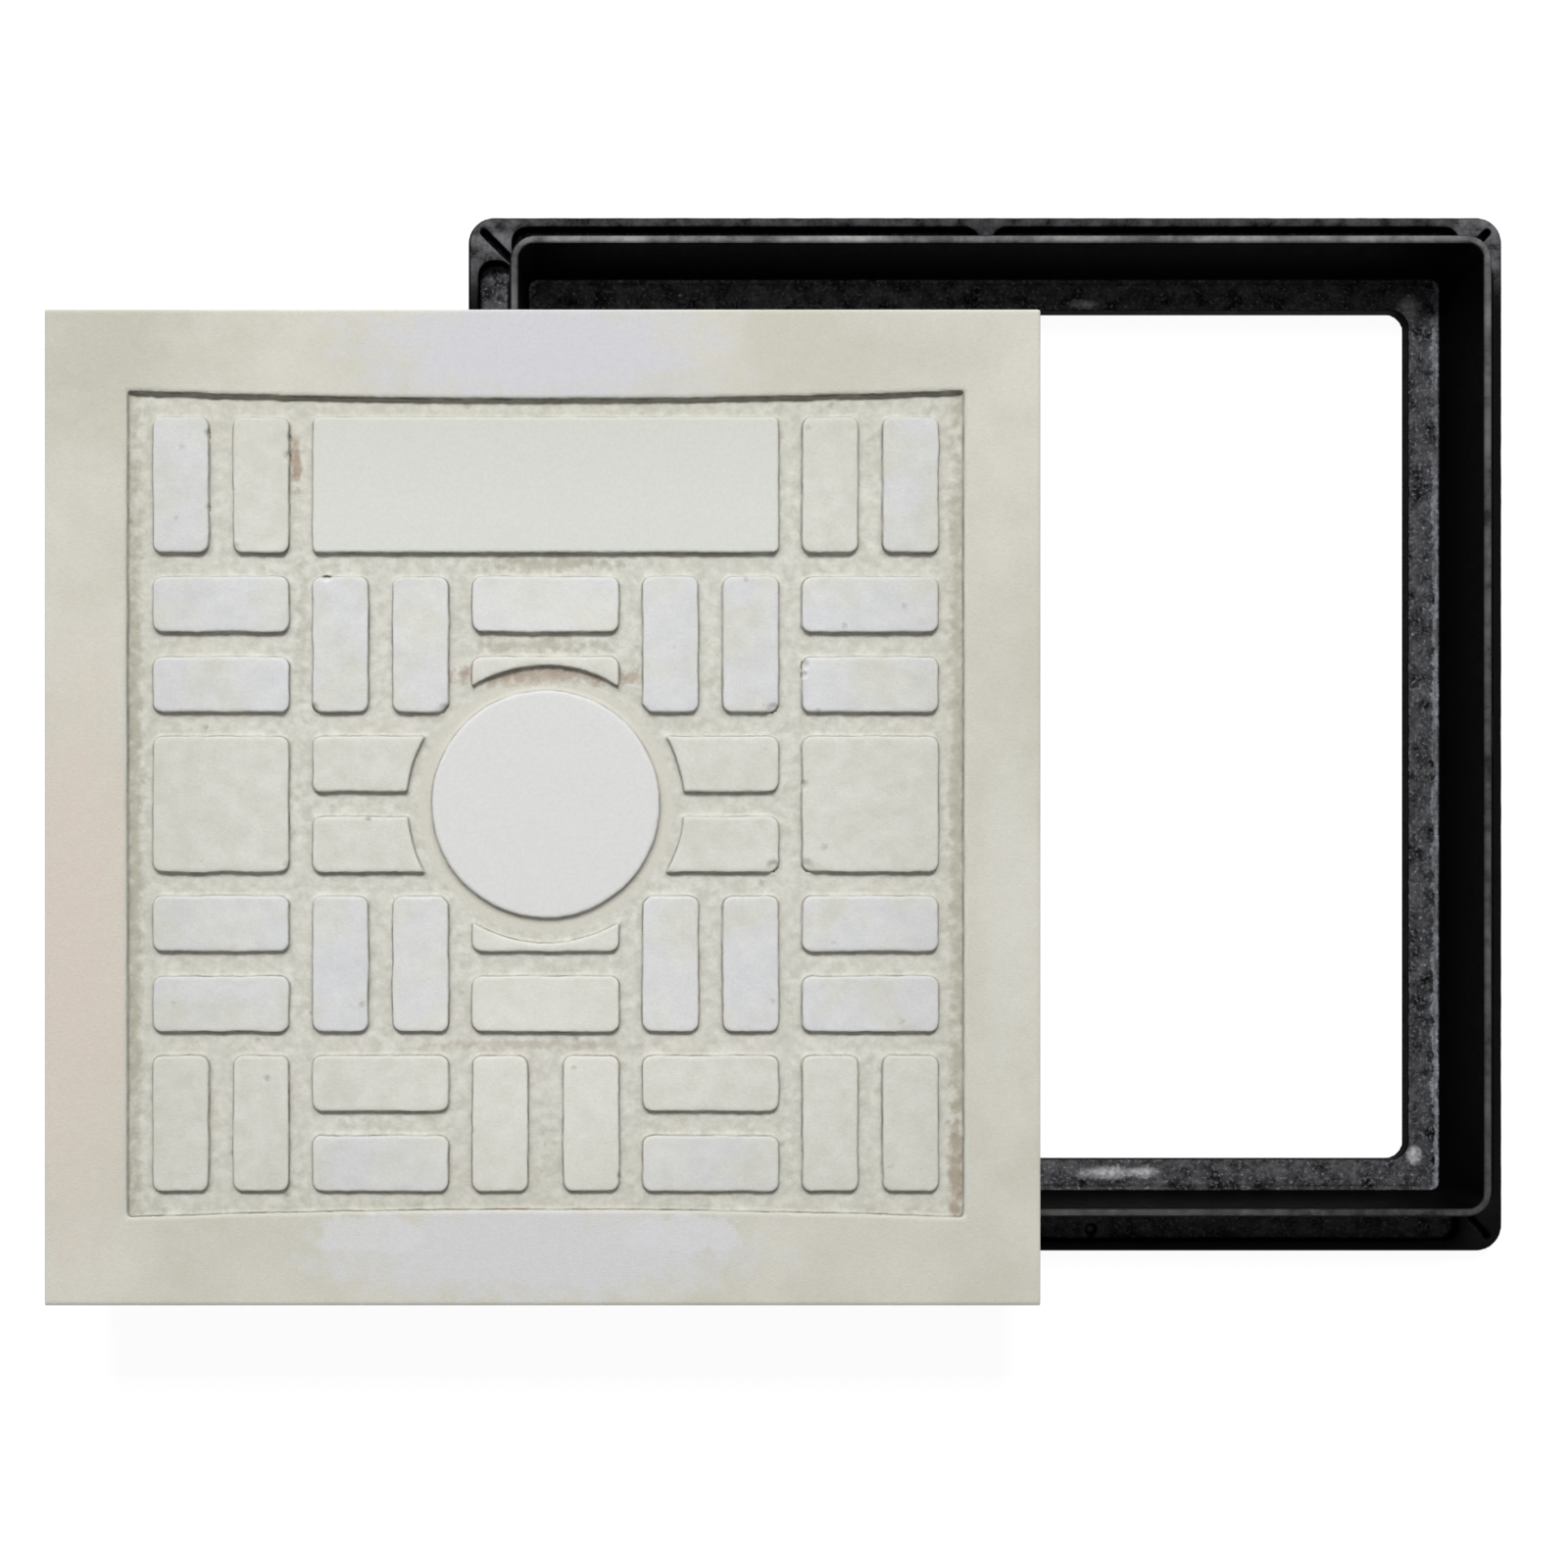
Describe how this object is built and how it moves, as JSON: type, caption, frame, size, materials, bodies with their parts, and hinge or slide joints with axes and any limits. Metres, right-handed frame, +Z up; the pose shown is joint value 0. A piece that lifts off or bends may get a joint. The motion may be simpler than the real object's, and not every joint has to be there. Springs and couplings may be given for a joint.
{
  "type": "recessed paving cover with frame",
  "caption": "Square access cover with a paving pattern in relief in its shallow recess, lying across its cast iron frame.",
  "frame": {"origin": "middle of the frame's square clear opening, at the level of the frame's underside", "axes": "+X to the frame's right side, away from the side that the cover lies over; +Y to the back; +Z up, out of the ground"},
  "size_m": [0.9958, 0.7458, 0.109],
  "materials": {
    "moulded_stone": "matt, finely sandy",
    "black_coated_iron": "glossy black dip coat on rough sand-cast iron"
  },
  "bodies": {
    "root": {"cover": "moulded_stone", "frame": "black_coated_iron"}
  },
  "joints": []
}
